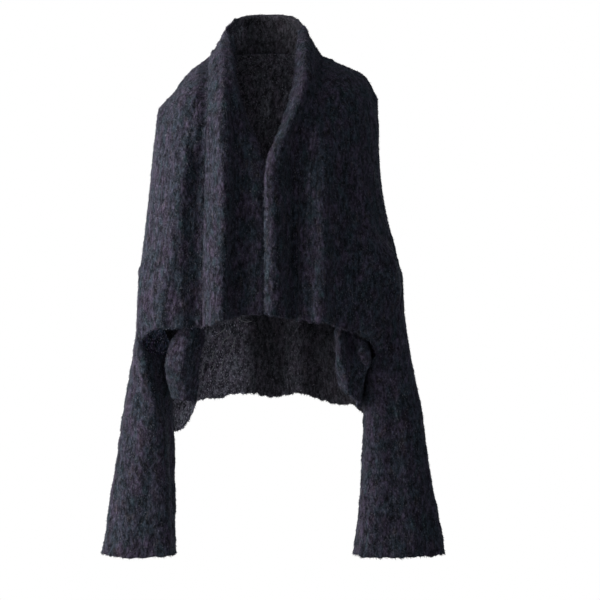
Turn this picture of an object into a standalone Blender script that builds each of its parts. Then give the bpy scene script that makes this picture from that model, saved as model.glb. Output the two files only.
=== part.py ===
"""Shawl cardigan in thick brushed knit, hollow as when it is worn.

Metres, +Z up, the fronts face -Y. The origin lies between the shoulder tips, where the wearer's shoulders carry it.
Left and right are the wearer's, so the right side has negative X.
"""

import bpy
import numpy as np

MM = 0.001

# Cloth
WALL = 3.0 * MM
SEAM_GAP = 0.3 * MM
ANGLED_GAP = 0.9 * MM  # where two walls meet at an angle, so that their inner corners stay SEAM_GAP apart
NECK_GAP = 1.4 * MM  # the same where the collar stands up from the neck seam
ARMHOLE_GAP = 1.4 * MM  # the same round the armholes
UNDERARM_GAP = 3.7 * MM  # the same where the armhole meets the side seam
SIDE_SEAM_GAP = {"right": 3.1 * MM, "left": 2.3 * MM}  # the same down the side seams, where the back turns a corner

# Figure that fills the garment
FRONT_DEPTH = 118 * MM
BACK_DEPTH = 98 * MM
SIDE_POWER = 2.4  # roundness of a level section: 2 is an ellipse, more is boxier
SHOULDER_DROP = 75 * MM  # height over which the cloth turns from the shoulder seam to the chest
NECK_TOP = 94 * MM  # where the shoulder lines would meet behind the neck

# Grid counts
BAND_ROWS = 9
FRONT_COLUMNS = 14
NECK_COLUMNS = 5
ARM_STEPS = 12  # along the shoulder fold, from the shoulder tip to the armhole
HOLE_STEPS = {"front": 8, "under": 6, "back": 10}  # round the armhole
SIDE_SEAM_STEPS = 5
SIDE_COLUMNS = 12
SIDE_ROWS = 8
SLEEVE_RINGS = 16
TOP_CROWDING = 1.5  # above 1, rows lie closer together at the shoulder

KNIT_COLOUR = (0.035, 0.036, 0.048, 1.0)
KNIT_ROUGHNESS = 0.95

# Edges of the body, in millimetres: name, x, y, z
SHOULDER = {
    "right": (
        ("collar", -88, 4, 54),
        ("middle", -121, 0, 27),
        ("arm side", -144, 0, -3),
        ("tip", -169, 0, -29),
    ),
    "left": (
        ("collar", 88, 4, 54),
        ("middle", 127, 0, 36),
        ("arm side", 157, 0, 21),
        ("tip", 177, 0, -14),
    ),
}
OUTLINE = {
    "right": (
        ("tip", -169, 0, -29),
        ("upper arm", -174, 0, -60),
        ("arm", -181, 0, -130),
        ("lower arm", -187, 0, -190),
        ("armhole", -199, 0, -285),
    ),
    "left": (
        ("tip", 177, 0, -14),
        ("upper arm", 178, 0, -60),
        ("arm", 181, 0, -130),
        ("lower arm", 190, 0, -195),
        ("armhole", 212, 0, -285),
    ),
}
# Armhole rim, once round: down the front, under the arm and up the back
ARMHOLE = {
    "right": (
        ("top", -199, 0, -285),
        ("front high", -197, -44, -325),
        ("front low", -195, -66, -401),
        ("lip", -178, -56, -419),
        ("inner lip", -159, -30, -423),
        ("under", -148, 6, -418),
        ("back low", -163, 48, -392),
        ("back high", -187, 44, -325),
    ),
    "left": (
        ("top", 212, 0, -285),
        ("front high", 214, -44, -325),
        ("front low", 196, -66, -395),
        ("lip", 174, -62, -420),
        ("inner lip", 162, -36, -430),
        ("under", 153, 6, -424),
        ("back low", 170, 46, -392),
        ("back high", 198, 44, -325),
    ),
}
FRONT_CORNER = {"right": "front low", "left": "lip"}  # where the front hem ends on the armhole rim
FRONT_HEM = {
    "right": (
        ("band seam", -96, 0, -378),
        ("side", -140, 0, -380),
        ("outer", -174, 0, -383),
        ("corner", -195, 0, -401),
    ),
    "left": (
        ("band seam", 72, 0, -369),
        ("front", 94, 0, -371),
        ("turn", 112, 0, -378),
        ("side", 138, 0, -386),
        ("outer", 162, 0, -398),
        ("corner", 174, 0, -420),
    ),
}
BACK_SEAM = {
    "right": (("under", -148, 6, -418), ("side", -144, 30, -450), ("fold", -154, 46, -500), ("tip", -150, 54, -550)),
    "left": (("under", 153, 6, -424), ("side", 149, 30, -450), ("fold", 156, 46, -495), ("tip", 161, 54, -524)),
}
BACK_HEM = (
    ("right tip", -151, 0, -550),
    ("right point", -140, 0, -549),
    ("right corner", -124, 0, -524),
    ("right inner", -113, 0, -502),
    ("right", -90, 0, -499),
    ("right wave", -30, 0, -490),
    ("middle", 8, 0, -498),
    ("left wave", 54, 0, -491),
    ("left", 108, 0, -507),
    ("left corner", 142, 0, -508),
    ("left tip", 161, 0, -524),
)

# Collar band, in millimetres. It stands round the back of the neck, rolls over softly and runs down both front edges.
# station, then x y z of the seam, two places across the band, and the free edge
COLLAR_NECK = (
    ("back", (2, 70, 69), (3, 76, 102), (3, 84, 138), (3, 100, 56)),
    ("side back", (44, 60, 65), (43, 66, 98), (37, 72, 134), (62, 80, 53)),
    ("side", (78, 24, 55), (67, 30, 83), (57, 28, 110), (77, 36, 68)),
)
COLLAR_FRONT = {
    "right": (
        ("shoulder", (-88, 4, 54), (-75, 2, 73), (-66, 0, 90), (-53, -8, 82)),
        ("neck front", (-88, -44, 28), (-76, -54, 44), (-62, -54, 56), (-47, -42, 50)),
        ("collarbone", (-88, -84, -16), (-70, -104, -8), (-54, -98, 0), (-42, -84, 2)),
        ("chest", (-89, -102, -66), (-68, -130, -60), (-45, -108, -54), (-25, -99, -50)),
        ("break", (-91, -100, -122), (-67, -134, -118), (-40, -107, -114), (-5, -116, -113)),
        ("bust", (-94, -99, -196), (-67, -136, -192), (-40, -104, -188), (6, -117, -186)),
        ("waist", (-96, -99, -292), (-71, -136, -288), (-42, -103, -285), (6, -117, -283)),
        ("hem", (-96, -98, -378), (-71, -134, -371), (-40, -105, -362), (6, -117, -357)),
    ),
    "left": (
        ("shoulder", (88, 4, 54), (73, 2, 76), (61, 0, 95), (52, -8, 90)),
        ("neck front", (86, -44, 28), (76, -56, 46), (63, -60, 62), (50, -52, 60)),
        ("collarbone", (84, -88, -16), (71, -104, -8), (60, -113, 0), (41, -98, 4)),
        ("chest", (78, -112, -66), (56, -108, -60), (38, -129, -54), (22, -117, -50)),
        ("break", (74, -119, -118), (45, -105, -115), (16, -138, -112), (-2, -130, -110)),
        ("bust", (72, -121, -190), (46, -103, -188), (18, -140, -187), (1, -131, -186)),
        ("waist", (72, -121, -290), (46, -103, -288), (18, -140, -286), (1, -131, -284)),
        ("hem", (72, -119, -369), (46, -105, -366), (18, -138, -361), (1, -131, -357)),
    ),
}

# Long soft folds: name, x at the top, x at the hem, half width, height (outwards), z of the top, z of the foot
FRONT_FOLDS = {
    "right": (
        ("arm ridge", -128, -162, 16, 10, -60, -400),
        ("long valley", -100, -112, 12, -5, -70, -430),
    ),
    "left": (
        ("roll ridge", 82, 86, 15, 12, -60, -430),
        ("long valley", 134, 140, 15, -5, -60, -430),
        ("arm ridge", 162, 168, 11, 3, -110, -330),
    ),
}
BACK_FOLDS = (
    ("right fold", -92, -96, 22, 9, -80, -560),
    ("right valley", -48, -28, 17, -10, -160, -560),
    ("middle fold", -2, 20, 17, 10, -120, -560),
    ("left valley", 46, 58, 14, -10, -200, -560),
    ("left fold", 84, 98, 18, 9, -80, -560),
)

# Side pieces, in millimetres, from the free front edge round the fold to the back's side seam, which they share.
# level, share of the side seam, then x y z at the free edge, the face, the hollow, the fold and the return
SIDE_FORM = {
    "right": (
        ("top", 0.09, (-90, -64, -358), (-112, -66, -364), (-130, -64, -380), (-146, -58, -402), (-141, -30, -430)),
        ("upper", 0.2, (-95, -70, -396), (-120, -82, -398), (-138, -76, -408), (-152, -66, -420), (-143, -38, -440)),
        ("middle", 0.34, (-102, -64, -438), (-122, -84, -438), (-140, -82, -443), (-154, -70, -447), (-143, -36, -460)),
        ("hem", 0.52, (-110, -46, -496), (-120, -60, -494), (-132, -62, -491), (-146, -52, -489), (-142, -30, -489)),
    ),
    "left": (
        ("top", 0.12, (109, -72, -362), (119, -82, -367), (132, -60, -380), (148, -72, -402), (147, -30, -438)),
        ("upper", 0.24, (108, -76, -396), (119, -91, -402), (136, -64, -414), (158, -74, -428), (149, -36, -446)),
        ("middle", 0.42, (109, -66, -438), (120, -88, -442), (138, -70, -448), (156, -62, -456), (149, -34, -466)),
        ("hem", 0.68, (114, -48, -468), (126, -64, -480), (141, -58, -492), (151, -50, -502), (150, -28, -504)),
    ),
}

# Sleeves, in millimetres: level, z, outer x, inner x, half depth, y of the middle
SLEEVE = {
    "right": (
        ("under arm", -440, -214, -153, 42, -4),
        ("upper", -500, -223, -150, 47, -2),
        ("elbow", -576, -233, -148, 48, 4),
        ("forearm", -656, -245, -146, 43, 0),
        ("wrist", -715, -253, -145, 41, -2),
        ("cuff", -741, -258, -144, 41, -4),
    ),
    "left": (
        ("under arm", -444, 240, 160, 44, -4),
        ("upper", -500, 247, 157, 48, 0),
        ("elbow", -576, 255, 156, 48, 4),
        ("forearm", -656, 267, 150, 43, 0),
        ("wrist", -715, 277, 144, 41, -2),
        ("cuff", -741, 282, 140, 41, -4),
    ),
}
SLEEVE_FOLDS = 5  # soft lengthwise folds round each sleeve
SLEEVE_FOLD_HEIGHT = 2.5 * MM
RIM_FADES_BY = 0.34  # share of the sleeve's length by which its sections are level
EVEN_BELOW = 0.5  # and by which their points are evenly spaced


def metres(rows):
    """The x, y, z columns of a table, in metres."""
    return np.array([row[1:4] for row in rows], float) * MM


def dense_curve(points, closed=False):
    """A smooth curve through the points, as many short steps."""
    points = np.asarray(points, float)
    if closed:
        padded = np.concatenate([points[-1:], points, points[:2]])
    else:
        padded = np.concatenate([2 * points[:1] - points[1:2], points, 2 * points[-1:] - points[-2:-1]])
    u = np.linspace(0, 1, 24, endpoint=False)[:, None]
    pieces = []
    for a, b, c, d in zip(padded, padded[1:], padded[2:], padded[3:]):
        pieces.append(b + 0.5 * u * (c - a + u * (2 * a - 5 * b + 4 * c - d + u * (3 * (b - c) + d - a))))
    return np.concatenate(pieces + [padded[-2:-1]])


def read_at(curve, shares):
    """The points of a polyline at shares of its length."""
    length = np.concatenate([[0], np.cumsum(np.linalg.norm(np.diff(curve, axis=0), axis=1))])
    at = np.asarray(shares) * length[-1]
    return np.stack([np.interp(at, length, curve[:, k]) for k in range(curve.shape[1])], axis=1)


def smooth(points, count):
    """A smooth curve through the points, read at count places spaced evenly along it."""
    return read_at(dense_curve(points), np.linspace(0, 1, count))


def coons(top, foot, start, end, s, t):
    """A patch between four edges: top and foot run along s, start and end run down along t."""
    s = s[None, :, None]
    t = t[:, None, None]
    across = (1 - s) * start[:, None] + s * end[:, None]
    down = (1 - t) * top[None] + t * foot[None]
    corners = (1 - t) * ((1 - s) * top[0] + s * top[-1]) + t * ((1 - s) * foot[0] + s * foot[-1])
    return across + down - corners


def half_width(z, side):
    """How far the outline lies from the middle at a height."""
    edge = np.concatenate([metres(SHOULDER[side]), metres(OUTLINE[side])[1:], [[0.0, 0.0, -0.6]]])
    edge[-1, 0] = edge[-2, 0]
    return np.interp(-z, -edge[:, 2], np.abs(edge[:, 0]))


def fold_height(x, z, folds):
    """The outward height of the long folds at a place."""
    total = np.zeros_like(x)
    for _, x_top, x_foot, width, height, z_top, z_foot in folds:
        down = np.clip((z_top * MM - z) / ((z_top - z_foot) * MM), 0, 1)
        centre = (x_top + (x_foot - x_top) * down) * MM
        grow = np.clip(down / 0.25, 0, 1)
        total += height * MM * np.exp(-(((x - centre) / (width * MM)) ** 2)) * grow * grow * (3 - 2 * grow)
    return total


def body_depth(x, z, depth, folds, shoulder_z):
    """How far the cloth stands from the shoulder seam's plane: round at the sides and over the shoulders."""
    width = np.where(x < 0, half_width(z, "right"), half_width(z, "left")) * 1.002
    side = (1 - np.clip(np.abs(x) / width, 0, 1) ** SIDE_POWER) ** (1 / SIDE_POWER)
    below = np.clip((shoulder_z - z) / SHOULDER_DROP, 0, 1)
    over = np.sqrt(1 - (1 - below) ** 2)
    return (depth * side + fold_height(x, z, folds) * np.minimum(side * 2, 1)) * over


def panel(top, foot, start, end, s, t, sign, depth, folds, held):
    """A body panel: its front view fills the four edges, and its depth follows the figure and meets the held edges."""
    flat = coons(top, foot, start, end, s, t)
    seam = np.concatenate([metres(SHOULDER["right"])[::-1], [[0, 0, NECK_TOP]], metres(SHOULDER["left"])])
    shoulder_z = np.interp(flat[..., 0], seam[:, 0], seam[:, 2])
    form = sign * body_depth(flat[..., 0], flat[..., 2], depth, folds, shoulder_z)
    edge_error = {
        "top": top[:, 1] - form[0],
        "foot": foot[:, 1] - form[-1],
        "start": start[:, 1] - form[:, 0],
        "end": end[:, 1] - form[:, -1],
    }
    for name in edge_error:
        if name not in held:
            edge_error[name] = edge_error[name] * 0
    edge_error["top"][0] = edge_error["start"][0]
    near = 3.0
    error = edge_error["top"][None, :] * ((1 - t) ** near)[:, None]
    error += edge_error["foot"][None, :] * (t**near)[:, None]
    left = edge_error["start"] - edge_error["top"][0] * (1 - t) ** near - edge_error["foot"][0] * t**near
    right = edge_error["end"] - edge_error["top"][-1] * (1 - t) ** near - edge_error["foot"][-1] * t**near
    error += left[:, None] * ((1 - s) ** near)[None, :] + right[:, None] * (s**near)[None, :]
    grid = flat.copy()
    grid[..., 1] = form + error
    return grid


def from_edge(grid, edge):
    """The grid as lines that start on the chosen edge, as a view of the same points."""
    if edge in ("start", "end"):
        grid = grid.transpose(1, 0, 2)
    return grid[::-1] if edge in ("last", "end") else grid


def draw_back(grid, edge, gap):
    """Draws an edge back into the cloth by a gap square to the edge, and slides the rest along with it."""
    lines = from_edge(grid, edge)
    step = lines[1] - lines[0]
    along = np.gradient(lines[0], axis=0)
    lean = np.sum(step * along, axis=1) / np.linalg.norm(step, axis=1) / np.linalg.norm(along, axis=1)
    square = np.sqrt(1 - np.minimum(np.abs(lean), 0.98) ** 2)
    gap = np.broadcast_to(gap, square.shape) / square
    for k in range(lines.shape[1]):
        line = lines[:, k].copy()
        length = np.concatenate([[0], np.cumsum(np.linalg.norm(np.diff(line, axis=0), axis=1))])
        lines[:, k] = read_at(line, (gap[k] + length * (length[-1] - gap[k]) / length[-1]) / length[-1])


def plane_gap(grid, edge):
    """How far an edge that meets its twin in the plane of the shoulder seams is drawn back, corners included."""
    lines = from_edge(grid, edge)
    step = lines[1] - lines[0]
    direct = np.abs(step[:, 1]) / np.linalg.norm(step, axis=1)
    direct = np.maximum(direct, 0.5)
    return (SEAM_GAP / 2 + WALL / 2 * np.sqrt(1 - direct**2)) / direct


def sheet(name, grid, outward, closed=False):
    """A grid of points as an open surface with the cloth's thickness; outward is a direction its faces look in."""
    rows, columns = grid.shape[:2]
    faces = []
    wrap = columns if closed else columns - 1
    for r in range(rows - 1):
        for c in range(wrap):
            d = (c + 1) % columns
            faces.append((r * columns + c, r * columns + d, (r + 1) * columns + d, (r + 1) * columns + c))
    a = grid[1, 0] - grid[0, 0]
    b = grid[0, 1] - grid[0, 0]
    if np.dot(np.cross(b, a), outward) < 0:
        faces = [face[::-1] for face in faces]
    mesh = bpy.data.meshes.new(name)
    mesh.from_pydata(grid.reshape(-1, 3).tolist(), [], faces)
    mesh.shade_smooth()
    material = bpy.data.materials.new(name + "_knit")
    material.use_nodes = True
    shader = material.node_tree.nodes["Principled BSDF"]
    shader.inputs["Base Color"].default_value = KNIT_COLOUR
    shader.inputs["Roughness"].default_value = KNIT_ROUGHNESS
    mesh.materials.append(material)
    piece = bpy.data.objects.new(name, mesh)
    collection.objects.link(piece)
    wall = piece.modifiers.new("wall", "SOLIDIFY")
    wall.thickness = WALL
    wall.offset = 0
    return piece


def sign_of(side):
    return -1 if side == "right" else 1


def armhole_rim(side):
    """The armhole's rim once round: down the front to the hem's corner, under the arm and up the back."""
    table = ARMHOLE[side]
    names = [row[0] for row in table]
    loop = dense_curve(metres(table), closed=True)
    per_row = (len(loop) - 1) // len(table)
    corner = names.index(FRONT_CORNER[side]) * per_row
    under = names.index("under") * per_row
    parts = (("front", loop[: corner + 1]), ("under", loop[corner : under + 1]), ("back", loop[under:]))
    return {name: read_at(run, np.linspace(0, 1, HOLE_STEPS[name] + 1)) for name, run in parts}


def arm_fold(side):
    """The fold down the arm, from the shoulder tip to the armhole."""
    return read_at(dense_curve(metres(OUTLINE[side])), np.linspace(0, 1, ARM_STEPS + 1) ** TOP_CROWDING)


def row_shares(count):
    return np.linspace(0, 1, count) ** TOP_CROWDING


def front_rows():
    return ARM_STEPS + HOLE_STEPS["front"] + 1


def collar_line(side, column):
    """One of the collar's four lines down a front edge, from the seam to the free edge."""
    rows = np.array([row[1 + column] for row in COLLAR_FRONT[side]], float) * MM
    return read_at(dense_curve(rows), row_shares(front_rows()) ** 0.85)


def shoulder_line(side, s):
    """The shoulder seam from the collar to the tip."""
    return read_at(dense_curve(metres(SHOULDER[side])), s)


def build_front(side):
    """A front from the shoulder seam to its hem, and from the collar band to the arm and the armhole."""
    t = row_shares(front_rows())
    s = np.sin(np.linspace(0, 1, FRONT_COLUMNS) * np.pi / 2)
    inner = collar_line(side, 0)
    outer = np.concatenate([arm_fold(side), armhole_rim(side)["front"][1:]])
    top = shoulder_line(side, s)
    foot = read_at(dense_curve(metres(FRONT_HEM[side])), s)
    foot[0], foot[-1] = inner[-1], outer[-1]
    grid = panel(top, foot, inner, outer, s, t, -1, FRONT_DEPTH, FRONT_FOLDS[side], ("top", "start", "end"))
    gaps = plane_gap(grid, "end")
    gaps[ARM_STEPS:] = ARMHOLE_GAP
    shoulder_gaps = plane_gap(grid, "first")
    draw_back(grid, "end", gaps)
    draw_back(grid, "first", shoulder_gaps)
    draw_back(grid, "start", ANGLED_GAP)
    return sheet("front_" + side, grid, (0, 0, 1))


def neck_line(side, column):
    """One of the collar's lines from the middle of the back to the shoulder."""
    sign = sign_of(side)
    rows = [row[1 + column] for row in COLLAR_NECK]
    rows = [np.array(row, float) * (sign, 1, 1) for row in rows[1:]]
    middle = np.array(COLLAR_NECK[0][1 + column], float)
    mirrored = [np.array(COLLAR_NECK[1][1 + column], float) * (-sign, 1, 1)]
    end = [np.array(COLLAR_FRONT[side][0][1 + column], float)]
    after = [np.array(COLLAR_FRONT[side][1][1 + column], float)]
    points = np.array(mirrored + [middle] + rows + end + after) * MM
    curve = dense_curve(points)
    steps = (len(curve) - 1) // (len(points) - 1)
    return read_at(curve[steps:-steps], np.linspace(0, 1, NECK_COLUMNS + 1))


def build_back():
    """The back from the neck and shoulder seams to the waved hem, whose corners hang lowest."""
    halves = []
    rows = ARM_STEPS + HOLE_STEPS["back"] + SIDE_SEAM_STEPS + 1
    t = row_shares(rows)
    for side in ("right", "left"):
        turn = np.sin(np.linspace(0, 1, FRONT_COLUMNS) * np.pi / 2)
        neck = neck_line(side, 0)
        shoulder = shoulder_line(side, turn)
        top = np.concatenate([neck, shoulder[1:]])
        neck_share = abs(neck[-1, 0] - neck[0, 0]) / abs(shoulder[-1, 0] - neck[0, 0])
        s = np.concatenate([np.linspace(0, neck_share, NECK_COLUMNS + 1), neck_share + (1 - neck_share) * turn[1:]])
        seam = smooth(metres(BACK_SEAM[side]), SIDE_SEAM_STEPS + 1)
        outer = np.concatenate([arm_fold(side), armhole_rim(side)["back"][::-1][1:], seam[1:]])
        hem = dense_curve(metres(BACK_HEM))
        middle = int(np.argmin(np.abs(hem[:, 0] - top[0, 0])))
        foot = read_at(hem[: middle + 1][::-1] if side == "right" else hem[middle:], s)
        inner = np.linspace(top[0], foot[0], rows)
        foot[-1] = outer[-1]
        grid = panel(top, foot, inner, outer, s, t, 1, BACK_DEPTH, BACK_FOLDS, ("top", "end"))
        gaps = plane_gap(grid, "end")
        gaps[ARM_STEPS:] = ARMHOLE_GAP
        under = ARM_STEPS + HOLE_STEPS["back"]
        gaps[under - 1 : under + 1] = UNDERARM_GAP
        gaps[under + 1 :] = SIDE_SEAM_GAP[side]
        shoulder_gaps = plane_gap(grid, "first")
        shoulder_gaps[: NECK_COLUMNS + 1] = NECK_GAP
        draw_back(grid, "end", gaps)
        draw_back(grid, "first", shoulder_gaps)
        halves.append(grid)
    middle = (halves[0][:, :1] + halves[1][:, :1]) / 2
    grid = np.concatenate([halves[0][:, :0:-1], middle, halves[1][:, 1:]], axis=1)
    return sheet("back", grid, (0, 1, 1))


def build_collar():
    """The collar band in one length, from one front hem round the neck to the other."""
    lines = []
    for column in range(4):
        right = [collar_line("right", column)[::-1], neck_line("right", column)[::-1][1:]]
        left = [neck_line("left", column)[1:-1], collar_line("left", column)]
        lines.append(np.concatenate(right + left))
    grid = np.array([smooth(station, BAND_ROWS) for station in zip(*lines)])
    draw_back(grid, "start", NECK_GAP)
    return sheet("collar", grid, (-1, -1, 0))


def build_side(side):
    """The piece under the arm, from its free front edge round the fold to the back's side seam."""
    seam = dense_curve(metres(BACK_SEAM[side]))
    levels = []
    for _, share, *points in SIDE_FORM[side]:
        level = np.concatenate([np.array(points, float) * MM, read_at(seam, [share])])
        levels.append(smooth(level, SIDE_COLUMNS))
    levels = np.array(levels)
    grid = np.stack([smooth(levels[:, c], SIDE_ROWS) for c in range(SIDE_COLUMNS)], axis=1)
    draw_back(grid, "end", SEAM_GAP)
    return sheet("side_" + side, grid, (0, -1, 0))


def eased(share):
    """0 to 1 with a soft start and end."""
    share = np.clip(share, 0, 1)
    return share * share * (3 - 2 * share)


def sleeve_section(table, z):
    """A sleeve's middle x, reach, half depth and middle y at a height."""
    outer, inner, half, middle_y = (np.interp(-z, -table[:, 0], table[:, c]) for c in range(1, 5))
    return (outer + inner) / 2, abs(outer - inner) / 2, half, middle_y


def build_sleeve(side):
    """A long sleeve from the armhole rim to the open cuff: level ellipses that take over from the rim."""
    sign = sign_of(side)
    parts = armhole_rim(side)
    rim = np.concatenate([parts["front"][:-1], parts["under"][:-1], parts["back"][:-1]])
    table = np.array([row[1:] for row in SLEEVE[side]], float) * MM
    cuff = table[-1, 0]
    middle_x, reach, half, middle_y = sleeve_section(table, table[0, 0])
    facing = np.unwrap(np.arctan2((middle_y - rim[:, 1]) / half, sign * (rim[:, 0] - middle_x) / reach))
    even = facing[0] + np.linspace(0, 2 * np.pi, len(rim), endpoint=False)
    rings = []
    for share in np.linspace(0, 1, SLEEVE_RINGS):
        angle = facing + (even - facing) * eased(share / EVEN_BELOW)
        z = np.interp(share, [0, 0.12, 1], [rim[:, 2].mean(), rim[:, 2].min() - 12 * MM, cuff])
        middle_x, reach, half, middle_y = sleeve_section(table, z)
        wave = 1 + SLEEVE_FOLD_HEIGHT / reach * np.sin(SLEEVE_FOLDS * angle + 2 * share) * share
        x = middle_x + sign * reach * np.cos(angle) * wave
        y = middle_y - half * np.sin(angle) * wave
        section = np.stack([x, y, np.full_like(x, z)], axis=1)
        lowered = rim - (rim[:, 2:] - cuff) * (0, 0, 0.9 * share)
        rings.append(lowered + (section - lowered) * eased(share / RIM_FADES_BY))
    grid = np.array(rings)
    draw_back(grid, "first", ARMHOLE_GAP)
    return sheet("sleeve_" + side, grid, (sign, 0, 0), closed=True)


for old in list(bpy.data.objects):
    bpy.data.objects.remove(old, do_unlink=True)
collection = bpy.data.collections.new("shawl_cardigan")
bpy.context.scene.collection.children.link(collection)

build_collar()
build_back()
for side in ("right", "left"):
    build_front(side)
    build_side(side)
    build_sleeve(side)
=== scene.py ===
# Dressed shawl cardigan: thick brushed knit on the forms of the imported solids, hollow as when it is worn.
# Left and right are the wearer's: the right side has negative X. Tables are in mm, and the rest in metres.

import math

import bpy
import numpy as np
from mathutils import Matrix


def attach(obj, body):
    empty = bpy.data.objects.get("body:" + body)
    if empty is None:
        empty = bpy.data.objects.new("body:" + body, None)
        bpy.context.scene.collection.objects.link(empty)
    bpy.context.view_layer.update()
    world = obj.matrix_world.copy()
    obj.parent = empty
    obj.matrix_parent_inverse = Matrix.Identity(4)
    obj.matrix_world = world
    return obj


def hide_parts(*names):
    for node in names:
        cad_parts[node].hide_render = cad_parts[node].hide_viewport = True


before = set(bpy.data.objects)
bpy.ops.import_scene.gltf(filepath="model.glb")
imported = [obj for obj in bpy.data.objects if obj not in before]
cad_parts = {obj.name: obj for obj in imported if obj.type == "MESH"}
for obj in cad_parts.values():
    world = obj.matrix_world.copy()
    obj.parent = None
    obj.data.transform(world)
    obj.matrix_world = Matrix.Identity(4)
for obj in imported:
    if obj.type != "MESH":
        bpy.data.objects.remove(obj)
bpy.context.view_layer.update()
scene = bpy.context.scene
mm = 0.001
print("frame loaded")


# A table's numbers without its names, in metres
def metres(rows):
    return np.array([row[1:] for row in rows], float) * mm


# Vectors made 1 long: each divided by its length
def unit(vectors):
    return vectors / np.linalg.norm(vectors, axis=-1, keepdims=True)


# 0 to 1 with a soft start and end: 3 s^2 - 2 s^3
def eased(share):
    share = np.clip(share, 0, 1)
    return share * share * (3 - 2 * share)


# A Catmull-Rom curve through the points, as many short steps
def denseCurve(points, closed=False):
    points = np.asarray(points, float)
    if closed:
        padded = np.concatenate([points[-1:], points, points[:2]])
    else:
        padded = np.concatenate([2 * points[:1] - points[1:2], points, 2 * points[-1:] - points[-2:-1]])
    t = np.linspace(0, 1, 24, endpoint=False)[:, None]
    pieces = []
    for a, b, c, d in zip(padded, padded[1:], padded[2:], padded[3:]):
        pieces.append(b + 0.5 * t * (c - a + t * (2 * a - 5 * b + 4 * c - d + t * (3 * (b - c) + d - a))))
    return np.concatenate(pieces + [padded[-2:-1]])


# The points of a polyline at shares of its length
def readAt(curve, shares):
    length = np.concatenate([[0], np.cumsum(np.linalg.norm(np.diff(curve, axis=0), axis=1))])
    at = np.asarray(shares) * length[-1]
    return np.stack([np.interp(at, length, curve[:, k]) for k in range(curve.shape[1])], axis=1)


# A smooth curve through the points, read at count places spaced evenly along it
def smoothCurve(points, count):
    return readAt(denseCurve(points), np.linspace(0, 1, count))


# A Coons patch between four edges: top and foot run along s, start and end run down along t
def coons(top, foot, start, end, s, t):
    s = s[None, :, None]
    t = t[:, None, None]
    across = (1 - s) * start[:, None] + s * end[:, None]
    down = (1 - t) * top[None] + t * foot[None]
    corners = (1 - t) * ((1 - s) * top[0] + s * top[-1]) + t * ((1 - s) * foot[0] + s * foot[-1])
    return across + down - corners


# A grid with its rows and columns exchanged
def turned(grid):
    return grid.transpose(1, 0, 2)


# The mean length of the cloth from the first row to each row
def lengthsAlong(grid):
    step = np.linalg.norm(np.diff(grid, axis=0), axis=2).mean(axis=1)
    return np.concatenate([[0], np.cumsum(step)])


# Unit normals of a grid: the cross product of its steps across and down, on the outward direction's side
def normalsOf(grid, outward, closed):
    down = np.gradient(grid, axis=0)
    if closed:
        across = np.roll(grid, -1, axis=1) - np.roll(grid, 1, axis=1)
    else:
        across = np.gradient(grid, axis=1)
    normal = unit(np.cross(across, down))
    return normal if np.dot(normal[0, 0], outward) > 0 else -normal


# Smooth noise from -1 to 1: random corner values blended across cells of the given size.
# around is the width after which it meets itself.
def softNoise(u, v, cellU, cellV, seed, around=None):
    size = 512
    repeat = max(2, round(around / cellU)) if around else size
    x = u * (repeat / around if around else 1 / cellU)
    y = v / cellV
    values = np.random.default_rng(seed).uniform(-1, 1, (repeat, size))
    i = np.floor(x).astype(int)
    j = np.floor(y).astype(int)
    a = eased(x - i)
    b = eased(y - j)
    low = values[i % repeat, j % size] * (1 - a) + values[(i + 1) % repeat, j % size] * a
    high = values[i % repeat, (j + 1) % size] * (1 - a) + values[(i + 1) % repeat, (j + 1) % size] * a
    return low * (1 - b) + high * b


# A mesh object from arrays of points and of faces with the same number of corners
def makeMesh(name, points, faces, material, uv=None):
    mesh = bpy.data.meshes.new(name)
    mesh.vertices.add(len(points))
    mesh.vertices.foreach_set("co", points.astype(np.float32).ravel())
    mesh.loops.add(faces.size)
    mesh.loops.foreach_set("vertex_index", faces.astype(np.int32).ravel())
    mesh.polygons.add(len(faces))
    mesh.polygons.foreach_set("loop_start", np.arange(0, faces.size, faces.shape[1], dtype=np.int32))
    mesh.update(calc_edges=True)
    if uv is not None:
        layer = mesh.uv_layers.new(name="cloth")
        layer.uv.foreach_set("vector", uv[faces.ravel()].astype(np.float32).ravel())
    mesh.shade_smooth()
    mesh.materials.append(material)
    piece = bpy.data.objects.new(name, mesh)
    scene.collection.objects.link(piece)
    return piece


# Materials
yarnColours = {
    "navy": (0.026, 0.034, 0.046, 1),
    "purple": (0.047, 0.037, 0.060, 1),
    "teal": (0.022, 0.042, 0.046, 1),
    "brown": (0.045, 0.033, 0.030, 1),
    "plain": (0.046, 0.041, 0.043, 1),
    "fleck": (0.26, 0.255, 0.29, 1),
    "loose fibre": (0.5, 0.5, 0.52, 1),
    "sheen": (0.58, 0.62, 0.76, 1),
}


# Sets some of a shader node's inputs. Underscores in an input's name stand for spaces.
def setInputs(node, **inputs):
    for name, value in inputs.items():
        node.inputs[name.replace("_", " ")].default_value = value
    return node


# Links each value to its socket, or sets the socket to it
def feed(tree, pairs):
    for socket, value in pairs:
        if isinstance(value, bpy.types.NodeSocket):
            tree.links.new(value, socket)
        else:
            socket.default_value = value


# A colour mix of two sockets or values
def mixColours(tree, factor, a, b, blend="MIX"):
    node = tree.nodes.new("ShaderNodeMix")
    node.data_type = "RGBA"
    node.blend_type = blend
    feed(tree, ((node.inputs[0], factor), (node.inputs[6], a), (node.inputs[7], b)))
    return node.outputs[2]


# A sum or product of two sockets or values
def calculate(tree, operation, a, b):
    node = tree.nodes.new("ShaderNodeMath")
    node.operation = operation
    feed(tree, zip(node.inputs, (a, b)))
    return node.outputs[0]


# A socket's values from one range into another, held at its ends
def remap(tree, socket, low, high, toLow, toHigh):
    node = tree.nodes.new("ShaderNodeMapRange")
    feed(tree, zip(node.inputs, (socket, low, high, toLow, toHigh)))
    return node.outputs[0]


# The same value for red, green and blue
def grey(value):
    return (value, value, value, 1)


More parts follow.
